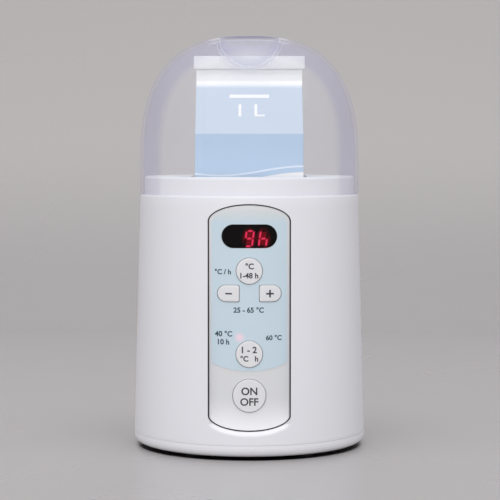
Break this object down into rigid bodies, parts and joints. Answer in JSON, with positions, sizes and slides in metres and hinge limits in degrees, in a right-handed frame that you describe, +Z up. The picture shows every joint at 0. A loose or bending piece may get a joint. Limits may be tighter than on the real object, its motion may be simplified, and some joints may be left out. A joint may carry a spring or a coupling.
{
  "type": "yogurt maker",
  "caption": "Upright oval yogurt maker with a front control panel and a clear domed lid over a square heated well that holds a drink carton with its closing clip.",
  "frame": {"origin": "centre of the oval footprint, on the surface that the feet stand on", "axes": "+Z up, the control panel faces -Y, +X to the panel's right as seen from the front"},
  "size_m": [0.1528, 0.168, 0.2697],
  "materials": {
    "casing_white": "gloss moulded white plastic",
    "foot_rubber": "matt black rubber",
    "screw_steel": "zinc-plated steel",
    "liner_white": "fine satin white plastic",
    "heater_foil": "crinkled foil",
    "felt": "pressed felt",
    "fuse_body": "glazed ceramic",
    "sensor_black": "epoxy bead",
    "spring_steel": "spring steel",
    "panel_white": "satin white plastic",
    "film_blue": "printed light blue film",
    "window_black": "gloss smoked plastic",
    "module_black": "matt black",
    "segment_lit": "lit red segment",
    "segment_dark": "unlit segment",
    "board_green": "solder mask",
    "part_black": "moulded black plastic",
    "led_pink": "diffused indicator",
    "button_white": "satin white plastic",
    "core_grey": "laminated core",
    "relay_blue": "moulded blue plastic",
    "capacitor_yellow": "moulded yellow plastic",
    "cable_grey": "grey flat cable",
    "socket_ivory": "ivory nylon",
    "gland_grey": "moulded light grey plastic",
    "cover_clear": "clear styrene with a faint violet tint",
    "carton_board": "printed coated board",
    "clip_white": "white plastic"
  },
  "bodies": {
    "housing": {"outer_casing": "casing_white", "base_cover": "casing_white", "rubber_feet": "foot_rubber", "base_screws": "screw_steel", "well_liner": "liner_white", "heater_band": "heater_foil", "insulation_wrap": "felt", "thermal_fuse": "fuse_body", "thermistor": "sensor_black", "sensor_clip": "spring_steel", "control_panel": "panel_white", "panel_film": "film_blue", "display_window": "window_black", "digit_module": "module_black", "lit_segments": "segment_lit", "dark_segments": "segment_dark", "control_board": "board_green", "tact_switches": "part_black", "indicator_leds": "led_pink", "buzzer": "part_black", "control_chip": "part_black", "board_screws": "screw_steel", "power_board": "board_green", "transformer": "core_grey", "relay": "relay_blue", "filter_capacitor": "capacitor_yellow", "smoothing_capacitor": "part_black", "varistor": "relay_blue", "mains_fuse": "fuse_body", "ribbon_cable": "cable_grey", "ribbon_sockets": "socket_ivory", "cord_gland": "gland_grey", "cord_clamp": "gland_grey", "clamp_screws": "screw_steel"},
    "mode_button": {"mode_button": "button_white"},
    "minus_button": {"minus_button": "button_white"},
    "plus_button": {"plus_button": "button_white"},
    "menu_button": {"menu_button": "button_white"},
    "start_button": {"start_button": "button_white"},
    "carton": {"milk_carton": "carton_board"},
    "clip": {"carton_clip": "clip_white"},
    "cover": {"clear_cover": "cover_clear"}
  },
  "joints": [
    {"name": "mode_press", "type": "slide", "parent": "housing", "child": "mode_button", "axis": [0, 1, 0], "range_m": [0, 0.0006], "stiffness_N_per_m": 1500, "springref_m": -0.0002},
    {"name": "minus_press", "type": "slide", "parent": "housing", "child": "minus_button", "axis": [0, 1, 0], "range_m": [0, 0.0006], "stiffness_N_per_m": 1500, "springref_m": -0.0002},
    {"name": "plus_press", "type": "slide", "parent": "housing", "child": "plus_button", "axis": [0, 1, 0], "range_m": [0, 0.0006], "stiffness_N_per_m": 1500, "springref_m": -0.0002},
    {"name": "menu_press", "type": "slide", "parent": "housing", "child": "menu_button", "axis": [0, 1, 0], "range_m": [0, 0.0006], "stiffness_N_per_m": 1500, "springref_m": -0.0002},
    {"name": "start_press", "type": "slide", "parent": "housing", "child": "start_button", "axis": [0, 1, 0], "range_m": [0, 0.0006], "stiffness_N_per_m": 1500, "springref_m": -0.0002},
    {"name": "carton_lift", "type": "slide", "parent": "housing", "child": "carton", "axis": [0, 0, 1], "range_m": [0, 0.17]},
    {"name": "clip_lift", "type": "slide", "parent": "carton", "child": "clip", "axis": [0, 0, 1], "range_m": [0, 0.015]},
    {"name": "cover_lift", "type": "slide", "parent": "clip", "child": "cover", "axis": [0, 0, 1], "range_m": [0, 0.11]}
  ]
}
